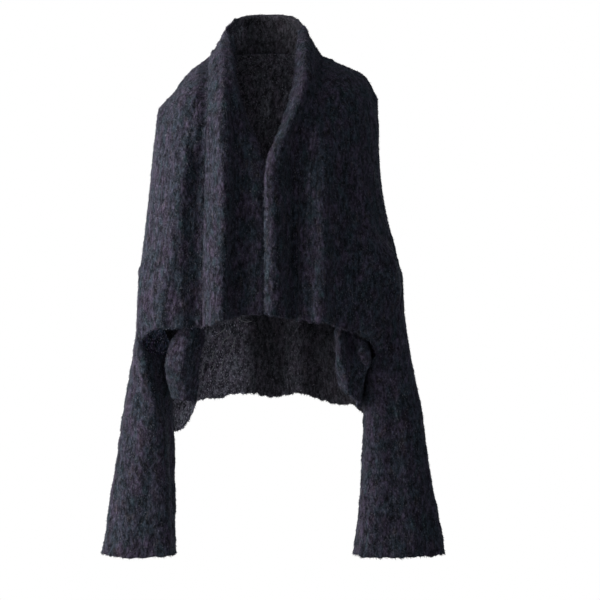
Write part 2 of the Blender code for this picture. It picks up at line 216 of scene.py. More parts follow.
# Mottled yarn: a charcoal navy ground with purple, teal and brown casts, lumps, fine grain and paler fibres
def yarnGroup():
    tree = bpy.data.node_groups.new("mottledYarn", "ShaderNodeTree")
    tree.interface.new_socket("Place", in_out="INPUT", socket_type="NodeSocketVector")
    for name in ("Fleck", "Lightness", "Pale", "Plain"):
        tree.interface.new_socket(name, in_out="INPUT", socket_type="NodeSocketFloat")
    tree.interface.new_socket("Colour", in_out="OUTPUT", socket_type="NodeSocketColor")
    tree.interface.new_socket("Height", in_out="OUTPUT", socket_type="NodeSocketFloat")
    start = tree.nodes.new("NodeGroupInput").outputs
    end = tree.nodes.new("NodeGroupOutput").inputs
    drawn = setInputs(tree.nodes.new("ShaderNodeMapping"), Scale=(1, 1, 0.5))  # marks are long down the cloth
    tree.links.new(start["Place"], drawn.inputs["Vector"])

    def noise(scale, detail, rough=0.6):
        node = setInputs(tree.nodes.new("ShaderNodeTexNoise"), Scale=scale, Detail=detail, Roughness=rough)
        tree.links.new(drawn.outputs["Vector"], node.inputs["Vector"])
        return node.outputs["Fac"]

    casts = noise(55, 2)
    patches = noise(90, 3)
    lumps = noise(140, 2)
    grain = noise(260, 3, 0.7)
    hairs = noise(620, 2)
    colour = yarnColours["navy"]
    tints = (
        (casts, 0.38, 0.62, 1, "purple"),
        (patches, 0.56, 0.7, 0.7, "teal"),
        (patches, 0.42, 0.30, 0.5, "brown"),
    )
    for mark, low, high, most, name in tints:
        colour = mixColours(tree, remap(tree, mark, low, high, 0, most), colour, yarnColours[name])
    colour = mixColours(tree, start["Plain"], colour, yarnColours["plain"])
    shades = (
        (lumps, 0.35, 0.65, grey(0.5), grey(1.6)),
        (grain, 0.38, 0.62, grey(0.35), (1.7, 1.7, 1.74, 1)),
    )
    for mark, low, high, dark, light in shades:
        shade = mixColours(tree, remap(tree, mark, low, high, 0, 1), dark, light)
        colour = mixColours(tree, 1.0, colour, shade, "MULTIPLY")
    # Pale is painted light: it adds pale flecks and multiplies the lightness below
    more = calculate(tree, "ADD", calculate(tree, "MULTIPLY", start["Pale"], 0.4), 1.0)
    flecks = calculate(tree, "MULTIPLY", start["Fleck"], more)
    flecks = calculate(tree, "MULTIPLY", remap(tree, hairs, 0.58, 0.7, 0, 1), flecks)
    colour = mixColours(tree, flecks, colour, yarnColours["fleck"])
    lightness = calculate(tree, "MULTIPLY", start["Lightness"], calculate(tree, "ADD", start["Pale"], 1.0))
    colour = mixColours(tree, 1.0, colour, lightness, "MULTIPLY")
    tree.links.new(colour, end["Colour"])
    tree.links.new(calculate(tree, "ADD", grain, lumps), end["Height"])
    return tree


# A new material, its node tree and its shader
def plainMaterial(name, roughness):
    material = bpy.data.materials.new(name)
    material.use_nodes = True
    shader = material.node_tree.nodes["Principled BSDF"]
    return material, material.node_tree, setInputs(shader, Roughness=roughness)


# Matt brushed knit: mottled yarn with a soft sheen. Pale, painted light on the inner faces, and plain are
# point attributes of each piece.
def knitMaterial(name, yarn, fleck, lightness, bumpDepth):
    material, tree, shader = plainMaterial(name, 0.95)
    setInputs(shader, Specular_IOR_Level=0.12)
    setInputs(shader, Sheen_Weight=0.12, Sheen_Roughness=0.5, Sheen_Tint=yarnColours["sheen"])
    group = tree.nodes.new("ShaderNodeGroup")
    group.node_tree = yarn
    setInputs(group, Fleck=fleck, Lightness=lightness)
    tree.links.new(tree.nodes.new("ShaderNodeTexCoord").outputs["Object"], group.inputs["Place"])
    for socket in ("Pale", "Plain"):
        share = tree.nodes.new("ShaderNodeAttribute")
        share.attribute_name = socket.lower()
        tree.links.new(share.outputs["Fac"], group.inputs[socket])
    tree.links.new(group.outputs["Colour"], shader.inputs["Base Color"])
    bump = setInputs(tree.nodes.new("ShaderNodeBump"), Strength=0.8, Distance=bumpDepth)
    tree.links.new(group.outputs["Height"], bump.inputs["Height"])
    tree.links.new(bump.outputs["Normal"], shader.inputs["Normal"])
    return material


yarn = yarnGroup()
# The nap's lightness is above the knit's: a painted highlight on the fibre tips, with the knit beneath
# painted darker
knit = knitMaterial("brushedKnit", yarn, fleck=0.45, lightness=0.76, bumpDepth=2.0 * mm)
nap = knitMaterial("brushedNap", yarn, fleck=0.9, lightness=1.15, bumpDepth=0.4 * mm)
stray, _, strayShader = plainMaterial("paleFibre", 0.8)
setInputs(strayShader, Base_Color=yarnColours["loose fibre"])
print("materials made")

# Knit: its wall, its edges, and its relief of ribs, lumps and curls
cloth = {
    "spacing": 3.6 * mm,  # between the lines of the fine grid
    "wall": 3.2 * mm,
    "rimShares": (0.14, 0.5),  # two more lines beside an edge, where the wall rounds off, in walls
    "hemRadius": 0.5,  # how far the wall rounds off at a hem, as a share of the wall
    "seamRadius": 0.3,  # and at a seam
    "seamReach": 0.6 * mm,  # how far each piece reaches into a sewn seam
    "seamDip": 0.3 * mm,  # how far the cloth dips beside it
    "dipWidth": 2.2 * mm,
    "hemWaves": ((7 * mm, 2.0 * mm, 71), (3.6 * mm, 1.1 * mm, 72)),  # length along the hem, height, seed
    "hemCurl": (0.54 * mm, 0.45 * mm, 73),  # mean height, how much it varies, seed
    "curlCell": (8 * mm, 7 * mm),  # how often the curl changes, along the hem and away from it
    "edgeFade": 5 * mm,  # how far the waves, the curl and the reach go into the cloth
    "innerCurl": 0.6,  # the inner face's share of the curl
    "innerRelief": 0.8,  # and of the relief
    "innerSeed": 500,  # added to a piece's seed for the relief of its inner face
    "innerPlace": (0.7, 0),  # where the inner face starts in the UV map, clear of the outer one
    "pitDepth": 0.4,  # depth of the pits, as a share of the lumps' height
    "creaseFade": 0.3,  # share of a crease over which each end fades out
    "relief": (  # name, cell across the cloth, cell down it, height
        ("broad ribs", 19, 110, 1.0),
        ("ribs", 10, 60, 0.9),
        ("long lumps", 8.5, 20, 1.4),
        ("lumps", 6.5, 9, 1.0),
        ("curls", 4.2, 5, 0.6),
    ),
}


# The grid read smoothly at close even rows, with two more beside each end where the wall rounds off
def finer(grid, closed=False, rimmed=True):
    dense = denseCurve(grid.reshape(len(grid), -1), closed).reshape(-1, *grid.shape[1:])
    length = lengthsAlong(dense)
    shares = np.linspace(0, 1, max(4, round(length[-1] / cloth["spacing"])) + 1)
    if rimmed:
        near = np.array(cloth["rimShares"]) * cloth["wall"] / length[-1]
        shares = np.concatenate([[0], near, shares[1:-1], 1 - near[::-1], [1]])
    at = shares * length[-1]
    k = np.clip(np.searchsorted(length, at) - 1, 0, len(length) - 2)
    part = ((at - length[k]) / (length[k + 1] - length[k]))[:, None, None]
    return dense[k] * (1 - part) + dense[k + 1] * part


# The height of the knit's relief: a sum of soft noises, with shallower pits than lumps
def reliefHeight(u, v, seed, around=None):
    total = np.zeros(np.broadcast(u, v).shape)
    for k, (_, cellU, cellV, height) in enumerate(cloth["relief"]):
        total += height * mm * softNoise(u, v, cellU * mm, cellV * mm, seed + 11 * k, around)
    return np.where(total > 0, total, total * cloth["pitDepth"])


# The height of the listed creases: ridges above 0 and troughs below it.
# Each is a bell across a slightly bent line between two places, and fades towards both its ends.
def creaseHeight(shareU, shareV, creases):
    total = np.zeros(shareU.shape)
    for _, u0, v0, u1, v1, bend, width, height in creases:
        direction = np.array([u1 - u0, v1 - v0])
        length = np.linalg.norm(direction)
        along = ((shareU - u0) * direction[0] + (shareV - v0) * direction[1]) / length**2
        aside = ((shareU - u0) * direction[1] - (shareV - v0) * direction[0]) / length
        aside = aside - bend * np.sin(np.pi * np.clip(along, 0, 1))
        fade = eased(along / cloth["creaseFade"]) * eased((1 - along) / cloth["creaseFade"])
        total += height * mm * np.exp(-((aside / width) ** 2)) * fade
    return total


# A piece of knit as a fine surface with its two faces: the grid pushed out by its creases, its hems waved,
# its seams drawn together, and each face half a wall away with its curl, dip and relief.
# A piece's hems are its free edges, of first, last, start and end. The others are seams.
def knitSurface(grid, piece):
    closed, hems, seed = piece.get("closed", False), piece["hems"], piece["seed"]
    fine = finer(grid)
    fine = turned(finer(turned(fine), closed, rimmed=not closed))
    if closed:
        fine = fine[:, :-1]
    v = lengthsAlong(fine)
    u = lengthsAlong(turned(fine))
    around = None
    if closed:
        around = u[-1] + np.linalg.norm(fine[:, 0] - fine[:, -1], axis=1).mean()
        u = np.linspace(0, around, fine.shape[1], endpoint=False)
    v = np.broadcast_to(v[:, None], fine.shape[:2])
    u = np.broadcast_to(u[None, :], fine.shape[:2])
    width, height = (around or u.max()), v.max()
    toEdge = {"first": v, "last": height - v}
    if not closed:
        toEdge.update(start=u, end=width - u)
    along = {"first": u, "last": u, "start": v, "end": v}

    normal = normalsOf(fine, piece["outward"], closed)
    fine = fine + normal * creaseHeight(u / width, v / height, piece["creases"])[..., None]
    for edge, distance in toEdge.items():
        inside = turned(fine) if edge in ("start", "end") else fine
        step = inside[0] - inside[3] if edge in ("first", "start") else inside[-1] - inside[-4]
        step = unit(step)[:, None] if edge in ("start", "end") else unit(step)[None]
        push = np.full(fine.shape[:2], cloth["seamReach"])
        if edge in hems:
            push = 0
            for cell, wave, draw in cloth["hemWaves"]:
                push = push + wave * softNoise(along[edge], 0 * u, cell, 1, seed + draw, around)
        fine = fine + step * (push * np.exp(-distance / cloth["edgeFade"]))[..., None]
    normal = normalsOf(fine, piece["outward"], closed)

    full = np.ones(fine.shape[:2])
    dip = np.zeros(fine.shape[:2])
    curl = np.zeros(fine.shape[:2])
    mean, varies, draw = cloth["hemCurl"]
    for edge, distance in toEdge.items():
        radius = cloth["wall"] * cloth["hemRadius" if edge in hems else "seamRadius"]
        full = np.minimum(full, np.sqrt(1 - (1 - np.clip(distance / radius, 0, 1)) ** 2))
        if edge in hems:
            lump = mean + varies * softNoise(along[edge], distance, *cloth["curlCell"], seed + draw, around)
            curl = np.maximum(curl, lump * np.exp(-((distance / cloth["edgeFade"]) ** 2)))
        else:
            dip = np.maximum(dip, np.exp(-((distance / cloth["dipWidth"]) ** 2)))
    half = cloth["wall"] / 2
    outer = half + curl - cloth["seamDip"] * dip + (1 - dip) * reliefHeight(u, v, seed, around)
    rough = cloth["innerRelief"] * reliefHeight(u, v, seed + cloth["innerSeed"], around)
    inner = half + curl * cloth["innerCurl"] + (1 - dip) * rough
    faces = {"outer": outer * full, "inner": inner * full}
    return {"mid": fine, "normal": normal, "u": u, "v": v, "closed": closed, **faces}


# A closed wall from the surface's two faces, which share the points of the open edges.
# Returns it, and where on the grid the two faces lie apart.
def knitPiece(name, surface):
    rows, columns = surface["mid"].shape[:2]
    closed = surface["closed"]
    top = surface["mid"] + surface["normal"] * surface["outer"][..., None]
    low = surface["mid"] - surface["normal"] * surface["inner"][..., None]
    within = np.ones((rows, columns), bool)
    within[0] = within[-1] = False
    if not closed:
        within[:, 0] = within[:, -1] = False
    topIndex = np.arange(rows * columns).reshape(rows, columns)
    lowIndex = topIndex.copy()
    lowIndex[within] = rows * columns + np.arange(within.sum())
    points = np.concatenate([top.reshape(-1, 3), low[within]])
    flat = np.stack([surface["u"], surface["v"]], axis=-1)
    uv = np.concatenate([flat.reshape(-1, 2), flat[within] + cloth["innerPlace"]])

    def quads(index):
        after = np.roll(index, -1, axis=1)
        if not closed:
            index, after = index[:, :-1], after[:, :-1]
        return np.stack([index[:-1], after[:-1], after[1:], index[1:]], axis=-1).reshape(-1, 4)

    faces, backs = quads(topIndex), quads(lowIndex)
    a, b, d = points[faces[0, 0]], points[faces[0, 1]], points[faces[0, 3]]
    if np.dot(np.cross(b - a, d - a), surface["normal"][0, 0]) < 0:
        faces = faces[:, ::-1]
    else:
        backs = backs[:, ::-1]
    return makeMesh(name, points, np.concatenate([faces, backs]), knit, uv), within


# Nap: brushed fibres that lean down the cloth
fibre = {
    "length": (1.8 * mm, 4.6 * mm),
    "width": (0.5 * mm, 1.1 * mm),
    "rise": (0.2, 0.75),  # share of a fibre's length that stands out from the cloth
    "risePower": 1.3,  # above 1, more of them lie low
    "fall": 0.7,  # share of a fibre's lean that always points down the cloth
    "spread": 0.6,  # how far they lean across it
    "flatness": 0.6,  # thickness, as a share of the width
    "sunk": 0.25 * mm,  # how deep their roots are in the cloth
}


# Short fibres over a surface: each a closed three-sided spike from a random place on one of its faces.
# Returns them, with each fibre's face and the front view share of its normal.
def napPiece(name, surface, piece):
    count = piece["fibres"]
    rng = np.random.default_rng(piece["seed"] + 100)
    rows, columns = surface["mid"].shape[:2]
    r = rng.integers(0, rows - 1, count)
    c = rng.integers(0, columns - (0 if surface["closed"] else 1), count)
    a, b = rng.random(count), rng.random(count)
    onInner = rng.random(count) < piece["innerShare"]
    sign = np.where(onInner, -1.0, 1.0)[:, None]

    def at(values, down, across):
        return values[r + down, (c + across) % columns]

    def blended(values):
        wide, deep = (a, b) if values.ndim == 2 else (a[:, None], b[:, None])
        upper = at(values, 0, 0) * (1 - wide) + at(values, 0, 1) * wide
        lower = at(values, 1, 0) * (1 - wide) + at(values, 1, 1) * wide
        return upper * (1 - deep) + lower * deep

    outward = unit(blended(surface["normal"]))
    depth = np.where(onInner, blended(surface["inner"]), blended(surface["outer"]))[:, None]
    root = blended(surface["mid"]) + sign * outward * (depth - fibre["sunk"])
    normal = outward * sign
    down = unit(at(surface["mid"], 1, 0) - at(surface["mid"], 0, 0))
    length = rng.uniform(*fibre["length"], count)[:, None]
    rise = rng.uniform(*fibre["rise"], count)[:, None] ** fibre["risePower"]
    lean = rng.normal(0, 1, (count, 2))
    flat = down * (lean[:, :1] * (1 - fibre["fall"]) + fibre["fall"])
    flat = unit(flat + np.cross(normal, down) * lean[:, 1:] * fibre["spread"])
    direction = normal * rise + flat * np.sqrt(1 - rise**2)
    across = unit(np.cross(direction, normal))
    above = np.cross(across, direction)
    half = rng.uniform(*fibre["width"], count)[:, None] / 2
    below = root - above * half * fibre["flatness"]
    corners = [below + across * half, below - across * half, root + above * half, root + direction * length]
    points = np.stack(corners, axis=1).reshape(-1, 3)
    sides = np.array([[0, 1, 2], [0, 3, 1], [1, 3, 2], [2, 3, 0]])
    first = points[sides[0]]
    facing = np.cross(first[1] - first[0], first[2] - first[0])
    if np.dot(facing, first.mean(axis=0) - points[:4].mean(axis=0)) < 0:
        sides = sides[:, ::-1]
    faces = (4 * np.arange(count)[:, None, None] + sides[None]).reshape(-1, 3)
    return makeMesh(name, points, faces, nap), onInner, outward[:, 1]


# How much a place on the inner face takes of its piece's paler patches of painted light: all of it, or on a
# piece that turns over, what faces the front
def paintedLightShare(piece, normalY):
    return np.clip(piece["paintedLightInFront"] * normalY, 0, 1) if "paintedLightInFront" in piece else np.ones_like(normalY)


# Gives a mesh's points their paleness, the painted light of the piece's patches, and how plain their yarn is.
# Each patch is a flat-topped bell in front view, and both are 0 off the inner face.
def paint(mesh, piece, inward):
    place = np.empty(len(mesh.vertices) * 3, np.float32)
    mesh.vertices.foreach_get("co", place)
    x, z = place[::3] / mm, place[2::3] / mm
    amount = np.zeros(len(x))
    for _, middleX, middleZ, halfX, halfZ, more in piece["pale"]:
        amount += more * np.exp(-(((x - middleX) / halfX) ** 4) - ((z - middleZ) / halfZ) ** 4)
    for name, values in (("pale", amount * inward), ("plain", piece.get("plain", 0) * inward)):
        layer = mesh.attributes.new(name, "FLOAT", "POINT")
        layer.data.foreach_set("value", values.astype(np.float32))


def finishPiece(node, piece, surface, loose=()):
    wall, within = knitPiece(node + "Knit", surface)
    fibres, onInner, normalY = napPiece(node + "Nap", surface, piece)
    inner = paintedLightShare(piece, surface["normal"][within][:, 1])
    paint(wall.data, piece, np.concatenate([np.zeros(within.size), inner]))
    paint(fibres.data, piece, np.repeat(onInner * paintedLightShare(piece, normalY), 4))
    for part in (wall, fibres, *loose):
        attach(part, "root")
    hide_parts(node)
    cells = np.cross(*(np.gradient(surface["mid"], axis=k) for k in (0, 1)))
    measures = surface["u"].max(), surface["v"].max(), np.linalg.norm(cells, axis=2).sum()
    print(node, "width, length and area:", *(round(float(measure), 4) for measure in measures))


# Body: the general form that the cloth follows, the grid's steps, and shared edges (name, x, y, z)
body = {
    "frontDepth": 118 * mm,
    "backDepth": 98 * mm,
    "sidePower": 2.4,  # roundness of a level section: 2 is an ellipse, more is boxier
    "shoulderDrop": 75 * mm,  # height over which the cloth turns from the shoulder seam to the chest
    "spareWidth": 1.002,  # a little over 1, so that the cloth keeps some depth at the outline
    "foldStart": 0.25,  # share of a long fold over which it rises
    "neckTop": 94 * mm,  # where the shoulder lines would meet behind the neck
    "edgePower": 3.0,  # how fast a held edge's place fades into a panel
    "armSteps": 12,  # along the shoulder fold, from the shoulder tip to the armhole
    "holeSteps": {"front": 8, "under": 6, "back": 10},  # round the armhole
    "columns": 14,  # across a front or half a back
    "crowding": 1.5,  # above 1, rows lie closer together at the shoulder
    "shoulder": {
        "right": (
            ("collar", -88, 4, 54), ("middle", -121, 0, 27), ("arm side", -144, 0, -3),
            ("tip", -169, 0, -29),
        ),
        "left": (
            ("collar", 88, 4, 54), ("middle", 127, 0, 36), ("arm side", 157, 0, 21), ("tip", 177, 0, -14),
        ),
    },
    "armFold": {
        "right": (
            ("tip", -169, 0, -29), ("upper arm", -174, 0, -60), ("arm", -181, 0, -130),
            ("lower arm", -187, 0, -190), ("armhole", -199, 0, -285),
        ),
        "left": (
            ("tip", 177, 0, -14), ("upper arm", 178, 0, -60), ("arm", 181, 0, -130),
            ("lower arm", 190, 0, -195), ("armhole", 212, 0, -285),
        ),
    },
    "armhole": {  # once round: down the front, under the arm and up the back
        "right": (
            ("top", -199, 0, -285), ("front high", -197, -44, -325), ("front low", -195, -66, -401),
            ("lip", -178, -56, -419), ("inner lip", -159, -30, -423), ("under", -148, 6, -418),
            ("back low", -163, 48, -392), ("back high", -187, 44, -325),
        ),
        "left": (
            ("top", 212, 0, -285), ("front high", 214, -44, -325), ("front low", 196, -66, -395),
            ("lip", 174, -62, -420), ("inner lip", 162, -36, -430), ("under", 153, 6, -424),
            ("back low", 170, 46, -392), ("back high", 198, 44, -325),
        ),
    },
    "hemCorner": {"right": "front low", "left": "lip"},  # where the front hem ends on the armhole
    "backSeam": {
        "right": (
            ("under", -148, 6, -418), ("side", -144, 30, -450), ("fold", -154, 46, -500),
            ("tip", -150, 54, -550),
        ),
        "left": (
            ("under", 153, 6, -424), ("side", 149, 30, -450), ("fold", 156, 46, -495),
            ("tip", 161, 54, -524),
        ),
    },
}


# Even shares from 0 to 1, raised to a power that crowds them at the start
def rowShares(count):
    return np.linspace(0, 1, count) ** body["crowding"]


# The shoulder seam from the collar to the tip
def shoulderLine(side, s):
    return readAt(denseCurve(metres(body["shoulder"][side])), s)


# The fold down the arm, from the shoulder tip to the armhole
def armFold(side):
    return readAt(denseCurve(metres(body["armFold"][side])), rowShares(body["armSteps"] + 1))


# The armhole's rim once round: down the front to the hem's corner, under the arm and up the back
def armholeRim(side):
    rows = body["armhole"][side]
    names = [row[0] for row in rows]
    loop = denseCurve(metres(rows), closed=True)
    perRow = (len(loop) - 1) // len(names)
    corner = names.index(body["hemCorner"][side]) * perRow
    under = names.index("under") * perRow
    parts = (("front", loop[: corner + 1]), ("under", loop[corner : under + 1]), ("back", loop[under:]))
    return {name: readAt(run, np.linspace(0, 1, body["holeSteps"][name] + 1)) for name, run in parts}


# How far the outline lies from the middle at a height
def halfWidth(z, side):
    belowArms = [[0.0, 0.0, -0.6]]
    edge = np.concatenate([metres(body["shoulder"][side]), metres(body["armFold"][side])[1:], belowArms])
    edge[-1, 0] = edge[-2, 0]
    return np.interp(-z, -edge[:, 2], np.abs(edge[:, 0]))


# The outward height of the long folds at a place: a bell across each, which starts softly at its top
def foldHeight(x, z, folds):
    total = np.zeros_like(x)
    for _, xTop, xFoot, width, height, zTop, zFoot in folds:
        down = np.clip((zTop * mm - z) / ((zTop - zFoot) * mm), 0, 1)
        centre = (xTop + (xFoot - xTop) * down) * mm
        total += height * mm * np.exp(-(((x - centre) / (width * mm)) ** 2)) * eased(down / body["foldStart"])
    return total


# How far the cloth stands from the shoulder seam's plane: a superellipse across, and a quarter circle
# down from the shoulder seam
def bodyDepth(x, z, depth, folds, shoulderZ):
    width = np.where(x < 0, halfWidth(z, "right"), halfWidth(z, "left")) * body["spareWidth"]
    power = body["sidePower"]
    side = (1 - np.clip(np.abs(x) / width, 0, 1) ** power) ** (1 / power)
    below = np.clip((shoulderZ - z) / body["shoulderDrop"], 0, 1)
    over = np.sqrt(1 - (1 - below) ** 2)
    return (depth * side + foldHeight(x, z, folds) * np.minimum(side * 2, 1)) * over


# A body panel: its front view fills the four edges, and its depth follows that form and meets the top, the
# end and, where it is held, the start
def panel(top, foot, start, end, s, t, sign, depth, folds, startHeld):
    flat = coons(top, foot, start, end, s, t)
    right, left = (metres(body["shoulder"][side]) for side in ("right", "left"))
    seam = np.concatenate([right[::-1], [[0, 0, body["neckTop"]]], left])
    shoulderZ = np.interp(flat[..., 0], seam[:, 0], seam[:, 2])
    form = sign * bodyDepth(flat[..., 0], flat[..., 2], depth, folds, shoulderZ)
    offTop = top[:, 1] - form[0]
    offStart = (start[:, 1] - form[:, 0]) * startHeld
    offTop[0] = offStart[0]
    power = body["edgePower"]
    fade = (1 - t) ** power
    offStart = offStart - offTop[0] * fade
    offEnd = end[:, 1] - form[:, -1] - offTop[-1] * fade
    total = offTop[None, :] * fade[:, None]
    total += offStart[:, None] * ((1 - s) ** power)[None, :] + offEnd[:, None] * (s**power)[None, :]
    grid = flat.copy()
    grid[..., 1] = form + total
    return grid


# Tables of every piece: a crease has a name, u and v of both ends, a bend and a half width, all as shares
# of the piece, and its height. A pale patch is painted light: it has a name, x and z of its middle, a half
# width, a half height and how much paler it is. A long fold has a name, x at its top and foot, a half width,
# a height, and z of its top and foot.

# Collar: one band from a front hem round the neck to the other. Lines give a station, then x y z of the seam,
# two places across the band, and the free edge.
collar = {
    "rows": 9,  # across the band
    "neckColumns": 5,  # from the middle of the back to a shoulder
    "crowding": 0.85,  # below 1, takes back some of the body's crowding
    "neck": (
        ("back", (2, 70, 69), (3, 76, 102), (3, 84, 138), (3, 100, 56)),
        ("side back", (44, 60, 65), (43, 66, 98), (37, 72, 134), (62, 80, 53)),
        ("side", (78, 24, 55), (67, 30, 83), (57, 28, 110), (77, 36, 68)),
    ),
    "right": (
        ("shoulder", (-88, 4, 54), (-75, 2, 73), (-66, 0, 90), (-53, -8, 82)),
        ("neck front", (-88, -44, 28), (-76, -54, 44), (-62, -54, 56), (-47, -42, 50)),
        ("collarbone", (-88, -84, -16), (-67, -104, -8), (-54, -98, 0), (-42, -84, 2)),
        ("chest", (-89, -102, -66), (-62, -127, -60), (-45, -108, -54), (-25, -99, -50)),
        ("break", (-91, -100, -122), (-61, -130, -118), (-40, -107, -114), (-5, -116, -113)),
        ("bust", (-94, -99, -196), (-61, -131, -192), (-40, -104, -188), (6, -117, -186)),
        ("waist", (-96, -99, -292), (-65, -132, -288), (-42, -103, -285), (6, -117, -283)),
        ("hem", (-96, -98, -378), (-67, -134, -371), (-40, -105, -362), (6, -117, -357)),
    ),
    "left": (
        ("shoulder", (88, 4, 54), (73, 2, 76), (61, 0, 95), (52, -8, 90)),
        ("neck front", (86, -44, 28), (76, -56, 46), (63, -60, 62), (50, -52, 60)),
        ("collarbone", (84, -88, -16), (71, -104, -8), (62, -113, 0), (45, -98, 4)),
        ("chest", (78, -112, -66), (58, -108, -62), (44, -129, -62), (29, -117, -62)),
        ("break", (74, -119, -122), (46, -105, -120), (20, -138, -121), (5, -130, -124)),
        ("bust", (72, -121, -190), (46, -103, -188), (18, -140, -187), (1, -131, -186)),
        ("waist", (72, -121, -290), (46, -103, -288), (18, -140, -286), (1, -131, -284)),
        ("hem", (72, -119, -369), (46, -105, -366), (18, -138, -361), (1, -131, -357)),
    ),
    "outward": (-1, -1, 0),
    "hems": ("first", "last", "end"),
    "seed": 10,
    "creases": (
        ("beside the right seam", 0, -0.2, 0, 0.44, 0, 0.06, -1.5),
        ("under the left band", 0.99, -0.2, 0.99, 0.36, 0, 0.07, -10),
        ("right band edge roll", 0.79, -0.15, 0.77, 0.48, 0, 0.07, 4.5),
        ("roll beside the left seam", 0.14, 0.76, 0.14, 1.3, 0, 0.08, 8),
        ("hollow beside the left roll", 0.35, 0.78, 0.35, 1.3, 0, 0.07, -4),
        ("rim at the neck", 0.385, 0.42, 0.385, 0.6, 0, 0.03, -3),
        ("below the rim", 0.31, 0.42, 0.31, 0.62, 0, 0.035, 2.2),
        ("roll behind", 0.5, 0.52, 0.98, 0.55, 0.02, 0.012, 1.8),
        ("hollow behind", 0.55, 0.46, 0.98, 0.44, 0.02, 0.012, -1.8),
        ("right band rib", 0.32, 0.04, 0.38, 0.26, 0.04, 0.06, 1.0),
        ("right band hollow", 0.7, 0.1, 0.66, 0.33, -0.03, 0.07, -1.2),
        ("left band rib", 0.2, 0.7, 0.26, 0.93, 0.03, 0.06, 1.1),
        ("left band hollow", 0.55, 0.74, 0.5, 0.9, -0.03, 0.08, -1.2),
    ),
    # pale patches are painted light: a painted highlight on the rolled rim at the neck, and painted light on
    # the shaded inner face of the turn at the right
    "pale": (("rim at the neck", 0, 134, 46, 9, 0.4), ("turn at the right", -50, 98, 15, 20, 1.8)),
    "paintedLightInFront": 2.5,  # how fast the patches come in where the inner face turns to the front
    "plain": 0.65,
    "flat": (1.30, 0.17),
    "area": 0.115,
    "restsOn": ["back"],
    "fibres": 34000,
    "innerShare": 0.3,
}


# One of the collar's four lines down a front edge, from the seam to the free edge
def collarLine(side, column):
    points = np.array([row[1 + column] for row in collar[side]], float) * mm
    shares = rowShares(body["armSteps"] + body["holeSteps"]["front"] + 1)
    return readAt(denseCurve(points), shares ** collar["crowding"])


# One of the collar's lines from the middle of the back to the shoulder, on a curve that goes on past both
def neckLine(side, column):
    sign = -1 if side == "right" else 1
    middle, sideBack, *others = (np.array(row[1 + column], float) for row in collar["neck"])
    behind = [sideBack * (-sign, 1, 1), middle]
    after = [np.array(row[1 + column], float) for row in collar[side][:2]]
    points = np.array(behind + [place * (sign, 1, 1) for place in (sideBack, *others)] + after) * mm
    curve = denseCurve(points)
    steps = (len(curve) - 1) // (len(points) - 1)
    return readAt(curve[steps:-steps], np.linspace(0, 1, collar["neckColumns"] + 1))


# The whole band: smooth curves across it through its four lines
def collarGrid():
    lines = []
    for column in range(4):
        right = [collarLine("right", column)[::-1], neckLine("right", column)[::-1][1:]]
        left = [neckLine("left", column)[1:-1], collarLine("left", column)]
        lines.append(np.concatenate(right + left))
    return np.array([smoothCurve(station, collar["rows"]) for station in zip(*lines)])


finishPiece("collar", collar, knitSurface(collarGrid(), collar))

# Back: from the neck and shoulder seams to the waved hem, whose corners hang lowest
back = {
    "sideSeamSteps": 5,  # from under the arm to the hem's corner
    "hem": (
        ("right tip", -151, 0, -550), ("right point", -140, 0, -549), ("right corner", -124, 0, -524),
        ("right inner", -113, 0, -502), ("right", -90, 0, -499), ("right wave", -30, 0, -490),
        ("middle", 8, 0, -498), ("left wave", 54, 0, -491), ("left", 108, 0, -507),
        ("left corner", 142, 0, -508), ("left tip", 161, 0, -524),
    ),
    "folds": (
        ("right fold", -92, -96, 22, 9, -80, -560),
        ("right valley", -48, -28, 17, -10, -160, -560),
        ("middle fold", -2, 20, 17, 10, -120, -560),
        ("left valley", 46, 58, 14, -10, -200, -560),
        ("left fold", 84, 98, 18, 9, -80, -560),
    ),
    "outward": (0, 1, 1),
    "hems": ("last",),
    "seed": 20,
    "creases": (
        ("right armhole pull", 0.06, 0.56, 0.34, 0.4, 0.03, 0.02, 2.0),
        ("right armhole hollow", 0.08, 0.63, 0.3, 0.5, 0.02, 0.018, -2.0),
        ("left armhole pull", 0.94, 0.53, 0.7, 0.42, -0.03, 0.02, 1.8),
        ("left armhole hollow", 0.93, 0.6, 0.74, 0.52, -0.02, 0.016, -1.6),
        ("yoke crease", 0.3, 0.13, 0.62, 0.1, 0.02, 0.016, -1.4),
        ("right side trough", 0.2, 0.56, 0.17, 0.93, 0.008, 0.016, -2.0),
        ("left side ridge", 0.84, 0.5, 0.87, 0.88, -0.01, 0.015, 1.8),
        ("lower middle rib", 0.52, 0.62, 0.55, 0.97, 0.01, 0.014, 1.4),
        ("long rib", 0.36, 0.3, 0.38, 0.74, -0.01, 0.014, 1.5),
        ("short rib", 0.67, 0.28, 0.66, 0.56, 0.01, 0.013, 1.3),
    ),
    # pale patches are painted light on the inner back: at the neck, over the lower back, and strongest at the
    # right side, the middle and the right corner, where light falls in
    "pale": (
        ("neck", 0, 40, 130, 150, 1.9),
        ("lower back", 20, -430, 200, 160, 0.3),
        ("right side", -76, -420, 44, 190, 3.9),
        ("middle", 44, -420, 15, 190, 1.0),
        ("right corner", -136, -530, 26, 36, 4.0),
    ),
    "plain": 0.65,
    "flat": (0.62, 0.62),
    "area": 0.255,
    "restsOn": ["collar"],
    "fibres": 44000,
    "innerShare": 0.5,
}


